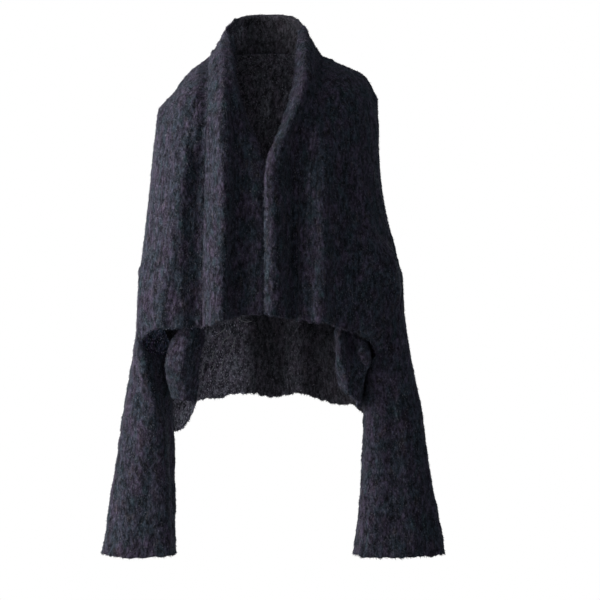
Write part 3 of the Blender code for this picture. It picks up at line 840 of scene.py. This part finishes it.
# Two half panels, each from the middle to the arm, joined along the middle
def backGrid():
    halves = []
    rows = body["armSteps"] + body["holeSteps"]["back"] + back["sideSeamSteps"] + 1
    turn = np.sin(np.linspace(0, 1, body["columns"]) * np.pi / 2)
    hem = denseCurve(metres(back["hem"]))
    for side in ("right", "left"):
        neck = neckLine(side, 0)
        line = shoulderLine(side, turn)
        top = np.concatenate([neck, line[1:]])
        neckShare = abs(neck[-1, 0] - neck[0, 0]) / abs(line[-1, 0] - neck[0, 0])
        s = np.concatenate([np.linspace(0, neckShare, len(neck)), neckShare + (1 - neckShare) * turn[1:]])
        seam = smoothCurve(metres(body["backSeam"][side]), back["sideSeamSteps"] + 1)
        outer = np.concatenate([armFold(side), armholeRim(side)["back"][::-1][1:], seam[1:]])
        middle = int(np.argmin(np.abs(hem[:, 0] - top[0, 0])))
        foot = readAt(hem[: middle + 1][::-1] if side == "right" else hem[middle:], s)
        inner = np.linspace(top[0], foot[0], rows)
        foot[-1] = outer[-1]
        edges = (top, foot, inner, outer, s, rowShares(rows))
        halves.append(panel(*edges, 1, body["backDepth"], back["folds"], False))
    middle = (halves[0][:, :1] + halves[1][:, :1]) / 2
    return np.concatenate([halves[0][:, :0:-1], middle, halves[1][:, 1:]], axis=1)


# Long pale fibres that lie loose on the inner back: x and z of one end, the middle and the other end
looseFibres = {
    "width": 1.4 * mm,
    "clear": 5 * mm,  # in front of the inner face
    "tips": 0.06,  # where on a half wave of thickness the ends are
    "roundness": 0.4,  # below 1, fuller towards the ends
    "lines": (
        (-85, -394, -76, -389, -68, -382),
        (-76, -412, -70, -402, -59, -394),
        (-92, -438, -90, -429, -88, -420),
        (-77, -459, -74, -441, -69, -426),
        (-49, -366, -36, -372, -25, -371),
        (-93, -454, -88, -446, -87, -441),
        (-107, -460, -106, -450, -103, -441),
        (-64, -430, -56, -412, -52, -398),
    ),
}


# Four-sided tubes along their lines, at the smoothed depth of the surface's inner face, thinner at both ends
def loosePiece(name, surface):
    face = (surface["mid"] - surface["normal"] * surface["inner"][..., None]).reshape(-1, 3)
    points, faces, first = [], [], 0
    around = np.array([[1, 0], [0, 1], [-1, 0], [0, -1]]) * looseFibres["width"] / 2
    for row in looseFibres["lines"]:
        line = denseCurve(np.array(row, float).reshape(3, 2) * mm)[::4]
        near = np.argmin(np.abs(face[None, :, ::2] - line[:, None]).sum(axis=2), axis=1)
        depth = np.convolve(np.pad(face[near, 1], 2, mode="edge"), np.ones(5) / 5, mode="valid")
        middle = np.stack([line[:, 0], depth - looseFibres["clear"], line[:, 1]], axis=1)
        along = unit(np.gradient(middle, axis=0))
        forward = unit(np.array([0.0, 1.0, 0.0]) - along * along[:, 1:2])
        side = np.cross(along, forward)
        wave = np.linspace(looseFibres["tips"], 1 - looseFibres["tips"], len(middle))
        taper = np.sin(np.pi * wave)[:, None] ** looseFibres["roundness"]
        rings = [middle + (side * a + forward * b) * taper for a, b in around]
        points.append(np.stack(rings, axis=1).reshape(-1, 3))
        ring = first + 4 * np.arange(len(middle) - 1)[:, None]
        k, after = np.arange(4)[None], (np.arange(4)[None] + 1) % 4
        walls = np.stack([ring + k, ring + k + 4, ring + after + 4, ring + after], axis=-1)
        last = first + 4 * (len(middle) - 1)
        ends = [[first, first + 1, first + 2, first + 3], [last + 3, last + 2, last + 1, last]]
        faces += [walls.reshape(-1, 4), np.array(ends)]
        first = last + 4
    return makeMesh(name, np.concatenate(points), np.concatenate(faces), stray)


backSurface = knitSurface(backGrid(), back)
finishPiece("back", back, backSurface, [loosePiece("backStrayFibres", backSurface)])

# Fronts: from the shoulder seam to the hem, and from the collar band to the arm and the armhole.
# What both pieces of a kind share comes first. The inner faces of all six are paler with painted light, most
# at the right.
paintedLightInsideRight = (("all over", 0, -400, 600, 700, 6.0),)
paintedLightInsideLeft = (("all over", 0, -400, 600, 700, 0.6),)
fronts = {
    "outward": (0, 0, 1),
    "hems": ("last",),
    "innerShare": 0.12,
    "restsOn": ["collar"],
}
frontRight = {
    **fronts,
    "pale": paintedLightInsideRight,
    "hem": (
        ("band seam", -96, 0, -378), ("side", -140, 0, -380), ("outer", -174, 0, -383),
        ("corner", -195, 0, -401),
    ),
    "folds": (
        ("arm ridge", -128, -162, 16, 10, -60, -400),
        ("long valley", -96, -107, 12, -4, -70, -430),
    ),
    "seed": 30,
    "creases": (
        ("beside the band", 0.04, -0.3, 0.04, 1.5, 0, 0.06, -3),
        ("from the shoulder", 0.3, 0.1, 0.72, 0.3, 0.05, 0.05, -1.6),
        ("middle ridge", 0.25, 0.2, 0.25, 1.3, 0, 0.07, 4),
        ("long rib", 0.52, 0.3, 0.6, 0.97, 0.02, 0.04, 1.4),
        ("arm hollow", 0.68, 0.32, 0.74, 0.86, 0.01, 0.04, -1.6),
        ("arm rib", 0.8, 0.38, 0.84, 0.8, -0.02, 0.035, 1.4),
        ("above the hem", 0.3, 0.84, 0.75, 0.92, 0.02, 0.035, 1.3),
    ),
    "flat": (0.19, 0.47),
    "area": 0.066,
    "fibres": 15000,
}
frontLeft = {
    **fronts,
    "pale": paintedLightInsideLeft,
    "hem": (
        ("band seam", 72, 0, -369), ("front", 94, 0, -371), ("turn", 112, 0, -378), ("side", 138, 0, -386),
        ("outer", 162, 0, -398), ("corner", 174, 0, -420),
    ),
    "folds": (
        ("roll ridge", 82, 86, 15, 12, -60, -430),
        ("long valley", 134, 140, 15, -5, -60, -430),
        ("arm ridge", 162, 168, 11, 3, -110, -330),
    ),
    "seed": 31,
    "creases": (
        ("lower roll", 0.1, 0.35, 0.1, 1.5, 0, 0.055, 4),
        ("from the shoulder", 0.28, 0.12, 0.8, 0.26, 0.05, 0.045, -1.5),
        ("long rib", 0.46, 0.28, 0.5, 0.95, -0.02, 0.04, 1.4),
        ("hollow", 0.6, 0.36, 0.62, 0.82, 0.02, 0.05, -1.6),
        ("arm rib", 0.8, 0.3, 0.8, 0.7, 0.02, 0.045, 1.3),
        ("from the armhole", 0.97, 0.68, 0.56, 0.8, 0.03, 0.035, -1.8),
    ),
    "flat": (0.21, 0.49),
    "area": 0.077,
    "fibres": 17000,
}


# A panel between the shoulder seam, the hem, the collar's first line, and the arm's fold and armhole
def frontGrid(side, front):
    s = np.sin(np.linspace(0, 1, body["columns"]) * np.pi / 2)
    t = rowShares(body["armSteps"] + body["holeSteps"]["front"] + 1)
    inner = collarLine(side, 0)
    outer = np.concatenate([armFold(side), armholeRim(side)["front"][1:]])
    foot = readAt(denseCurve(metres(front["hem"])), s)
    foot[0], foot[-1] = inner[-1], outer[-1]
    edges = (shoulderLine(side, s), foot, inner, outer, s, t)
    return panel(*edges, -1, body["frontDepth"], front["folds"], True)


# Side pieces, under the arms: level, share of the side seam, x y z at the free edge, the face, the hollow,
# the fold and the return
sides = {
    "outward": (0, -1, 0),
    "hems": ("first", "last", "start"),
    "flat": (0.18, 0.14),
    "area": 0.014,
    "restsOn": ["back"],
    "fibres": 5000,
    "innerShare": 0.3,
    "across": 12,  # columns and rows of the coarse grid
    "down": 8,
}
sideRight = {
    **sides,
    "pale": paintedLightInsideRight,
    "levels": (
        ("top", 0.09, (-90, -64, -358), (-112, -66, -364), (-130, -64, -380),
         (-146, -58, -402), (-141, -30, -430)),
        ("upper", 0.2, (-95, -70, -396), (-120, -82, -398), (-138, -76, -408),
         (-152, -66, -420), (-143, -38, -440)),
        ("middle", 0.34, (-102, -64, -438), (-122, -84, -438), (-140, -82, -443),
         (-154, -70, -447), (-143, -36, -460)),
        ("hem", 0.52, (-110, -46, -496), (-120, -60, -494), (-132, -62, -491),
         (-146, -52, -489), (-142, -30, -489)),
    ),
    "seed": 40,
    "creases": (
        ("face hollow", 0.22, 0.2, 0.28, 0.9, 0.02, 0.06, -1.2),
        ("turn", 0.5, 0.1, 0.46, 0.8, 0.02, 0.06, 1.2),
    ),
}
sideLeft = {
    **sides,
    "pale": paintedLightInsideLeft,
    "levels": (
        ("top", 0.12, (112, -72, -362), (119, -82, -367), (132, -60, -380),
         (148, -72, -402), (147, -30, -438)),
        ("upper", 0.24, (112, -76, -396), (119, -91, -402), (136, -64, -414),
         (158, -74, -428), (149, -36, -446)),
        ("middle", 0.42, (112, -66, -438), (120, -88, -442), (138, -70, -448),
         (156, -62, -456), (149, -34, -466)),
        ("hem", 0.68, (116, -48, -468), (126, -64, -480), (141, -58, -492),
         (151, -50, -502), (150, -28, -504)),
    ),
    "seed": 41,
    "creases": (
        ("face", 0.2, -0.3, 0.22, 1.1, 0, 0.08, -4),
        ("corner roll", 0.4, -0.6, 0.43, 0.42, 0, 0.08, 8),
        ("below the roll", 0.4, 0.4, 0.4, 1.4, 0, 0.07, -7),
    ),
}


# Smooth curves down through smooth level curves, from the free front edge round the fold to the side seam
def sideGrid(side, underArm):
    seam = denseCurve(metres(body["backSeam"][side]))
    levels = []
    for _, share, *points in underArm["levels"]:
        level = np.concatenate([np.array(points, float) * mm, readAt(seam, [share])])
        levels.append(smoothCurve(level, underArm["across"]))
    levels = np.array(levels)
    return np.stack([smoothCurve(levels[:, c], underArm["down"]) for c in range(underArm["across"])], axis=1)


# Sleeves. Sections give a level, z, outer x, inner x, half depth, y of the middle.
sleeves = {
    "hems": ("last",),
    "closed": True,
    "innerShare": 0.08,
    "rings": 16,
    "folds": 5,  # soft lengthwise folds round each sleeve
    "foldHeight": 2.5 * mm,
    "foldTurn": 2,  # radians that their waves move round it from the armhole to the cuff
    "clearBy": 0.12,  # share of its rings by which they are clear of the rim
    "clearBelow": 12 * mm,  # how far below the rim they are there
    "carried": 0.9,  # how far towards the cuff the rim's own form is carried
    "levelBy": 0.34,  # share of the sleeve's length by which its sections are level
    "evenBy": 0.5,  # and by which their points are evenly spaced
}
sleeveRight = {
    **sleeves,
    "outward": (-1, 0, 0),
    "restsOn": ["front_right"],
    "pale": paintedLightInsideRight,
    "sections": (
        ("under arm", -440, -214, -153, 42, -4), ("upper", -500, -223, -150, 47, -2),
        ("elbow", -576, -233, -148, 48, 4), ("forearm", -656, -245, -146, 43, 0),
        ("wrist", -715, -253, -145, 41, -2), ("cuff", -741, -258, -144, 41, -4),
    ),
    "seed": 50,
    "creases": (
        ("long fold", 0.34, -0.2, 0.39, 1.35, 0, 0.05, 6.5),
        ("front hollow", 0.23, 0.1, 0.22, 0.7, 0, 0.03, -2),
        ("inner hollow", 0.44, 0.1, 0.46, 1.1, 0, 0.04, -3),
        ("elbow front", 0.06, 0.3, 0.28, 0.37, 0.02, 0.028, -1.8),
        ("above the elbow", 0.1, 0.22, 0.26, 0.26, 0.015, 0.025, 1.4),
        ("elbow inside", 0.32, 0.43, 0.52, 0.37, 0.02, 0.025, -1.6),
        ("forearm rib", 0.13, 0.46, 0.17, 0.96, 0.02, 0.025, 1.8),
        ("forearm hollow", 0.2, 0.5, 0.24, 0.9, 0.01, 0.03, -1.6),
        ("elbow behind", 0.62, 0.33, 0.84, 0.38, -0.02, 0.028, -1.8),
        ("back rib", 0.72, 0.5, 0.74, 0.95, 0.01, 0.03, 1.4),
        ("wrist", 0.06, 0.82, 0.26, 0.86, 0.015, 0.025, -1.2),
    ),
    "flat": (0.34, 0.46),
    "area": 0.11,
    "fibres": 16000,
}
sleeveLeft = {
    **sleeves,
    "outward": (1, 0, 0),
    "restsOn": ["front_left"],
    "pale": paintedLightInsideLeft,
    "sections": (
        ("under arm", -444, 240, 160, 44, -4), ("upper", -500, 247, 157, 48, 0),
        ("elbow", -576, 255, 156, 48, 4), ("forearm", -656, 267, 150, 43, 0),
        ("wrist", -715, 277, 144, 41, -2), ("cuff", -741, 282, 140, 41, -4),
    ),
    "seed": 51,
    "creases": (
        ("long fold", 0.4, 0, 0.41, 1.2, 0, 0.05, 4.5),
        ("upper hollow", 0.31, -0.25, 0.31, 0.95, 0, 0.08, -7),
        ("front hollow", 0.22, 0, 0.21, 1.2, 0, 0.09, -4),
        ("elbow front", 0.08, 0.34, 0.3, 0.3, -0.02, 0.028, -1.8),
        ("below the elbow", 0.12, 0.44, 0.3, 0.41, -0.015, 0.025, 1.4),
        ("elbow inside", 0.34, 0.36, 0.54, 0.42, 0.02, 0.025, -1.5),
        ("forearm rib", 0.18, 0.42, 0.2, 0.94, -0.015, 0.025, 1.6),
        ("forearm hollow", 0.11, 0.52, 0.13, 0.88, 0.01, 0.03, -1.6),
        ("elbow behind", 0.64, 0.4, 0.86, 0.34, 0.02, 0.028, -1.8),
        ("back rib", 0.76, 0.46, 0.78, 0.9, 0.01, 0.03, 1.4),
        ("cuff", 0.1, 0.88, 0.3, 0.84, 0.015, 0.025, -1.2),
    ),
    "flat": (0.36, 0.46),
    "area": 0.12,
    "fibres": 18000,
}


# From the armhole rim to the open cuff: level ellipses with soft waves round them take over from the rim
def sleeveGrid(side, sleeve):
    sign = -1 if side == "right" else 1
    parts = armholeRim(side)
    rim = np.concatenate([parts[name][:-1] for name in ("front", "under", "back")])
    table = metres(sleeve["sections"])

    def section(z):  # middle and half width, half depth, and y of the middle, read between the sections
        outer, inner, half, middleY = (np.interp(-z, -table[:, 0], table[:, c]) for c in range(1, 5))
        return (outer + inner) / 2, abs(outer - inner) / 2, half, middleY

    middleX, reach, half, middleY = section(table[0, 0])
    facing = np.unwrap(np.arctan2((middleY - rim[:, 1]) / half, sign * (rim[:, 0] - middleX) / reach))
    even = facing[0] + np.linspace(0, 2 * np.pi, len(rim), endpoint=False)
    rings = []
    clear = rim[:, 2].min() - sleeve["clearBelow"]
    for share in np.linspace(0, 1, sleeve["rings"]):
        angle = facing + (even - facing) * eased(share / sleeve["evenBy"])
        z = np.interp(share, [0, sleeve["clearBy"], 1], [rim[:, 2].mean(), clear, table[-1, 0]])
        middleX, reach, half, middleY = section(z)
        turn = sleeve["foldTurn"] * share
        wave = 1 + sleeve["foldHeight"] / reach * np.sin(sleeve["folds"] * angle + turn) * share
        x = middleX + sign * reach * np.cos(angle) * wave
        y = middleY - half * np.sin(angle) * wave
        ring = np.stack([x, y, np.full_like(x, z)], axis=1)
        lowered = rim - (rim[:, 2:] - table[-1, 0]) * (0, 0, sleeve["carried"] * share)
        rings.append(lowered + (ring - lowered) * eased(share / sleeve["levelBy"]))
    return np.array(rings)


rightPieces = ("right", frontRight, sideRight, sleeveRight)
leftPieces = ("left", frontLeft, sideLeft, sleeveLeft)
for side, front, underArm, sleeve in (rightPieces, leftPieces):
    finishPiece("front_" + side, front, knitSurface(frontGrid(side, front), front))
    finishPiece("side_" + side, underArm, knitSurface(sideGrid(side, underArm), underArm))
    finishPiece("sleeve_" + side, sleeve, knitSurface(sleeveGrid(side, sleeve), sleeve))
print("pieces made")

# Camera, as the photo sees it
camera = bpy.data.objects.new("camera", bpy.data.cameras.new("camera"))
scene.collection.objects.link(camera)
camera.location = (0.0544, -2.6, -0.336)
camera.rotation_euler = (math.radians(90), 0, 0)
camera.data.angle = math.radians(20.9)
scene.camera = camera

# Pale floor, far below
floorReach = 1.1
floorHeight = -1.5
paper, _, paperShader = plainMaterial("paleFloor", 0.9)
setInputs(paperShader, Base_Color=(0.86, 0.86, 0.87, 1))
corners = np.array([[-1, -1], [1, -1], [1, 1], [-1, 1]]) * floorReach
floorPoints = np.concatenate([corners, np.full((4, 1), floorHeight)], axis=1)
makeMesh("floor", floorPoints, np.array([[0, 1, 2, 3]]), paper)

# Soft studio light from the viewer's left and above, and two lights behind for the back and the sides.
# Each row gives a name, place, target, width, height, power and colour.
lights = (
    ("keyLight", (-0.95, -0.38, -0.12), (0, 0, -0.32), 0.5, 1.3, 15, (1, 0.98, 0.97)),
    ("topLight", (-0.5, -0.5, 1.3), (0, 0, -0.1), 1.2, 0.8, 2.4, (0.95, 0.98, 1)),
    ("fillLight", (-0.7, -2.6, -0.2), (0, 0, -0.3), 1.2, 1.4, 5, (0.9, 0.95, 1)),
    ("backLight", (-1.3, 2.2, 0.2), (0, 0, -0.3), 0.6, 1.4, 30, (1, 0.98, 0.97)),
    ("farLight", (1.2, 2.3, 0.1), (0, 0, -0.3), 1.0, 1.4, 15, (0.9, 0.95, 1)),
)
for name, place, target, width, height, power, colour in lights:
    light = bpy.data.lights.new(name, "AREA")
    light.shape = "RECTANGLE"
    light.energy = power
    light.size = width
    light.size_y = height
    light.color = colour
    lamp = bpy.data.objects.new(name, light)
    aim = np.array(target, float) - place
    lamp.location = place
    lamp.rotation_euler = (math.atan2(np.hypot(aim[0], aim[1]), -aim[2]), 0, math.atan2(-aim[0], aim[1]))
    lamp.visible_camera = False
    scene.collection.objects.link(lamp)

# White surround for the camera, and a dim bluish one for the light it gives
world = bpy.data.worlds.new("studio")
world.use_nodes = True
scene.world = world
nodes, links = world.node_tree.nodes, world.node_tree.links
ambient = setInputs(nodes["Background"], Color=(0.85, 0.92, 1, 1), Strength=0.17)
seen = setInputs(nodes.new("ShaderNodeBackground"), Color=grey(1))
path = nodes.new("ShaderNodeLightPath")
blend = nodes.new("ShaderNodeMixShader")
links.new(path.outputs["Is Camera Ray"], blend.inputs[0])
links.new(ambient.outputs[0], blend.inputs[1])
links.new(seen.outputs[0], blend.inputs[2])
links.new(blend.outputs[0], nodes["World Output"].inputs["Surface"])
scene.view_settings.view_transform = "Standard"
print("camera and light made")
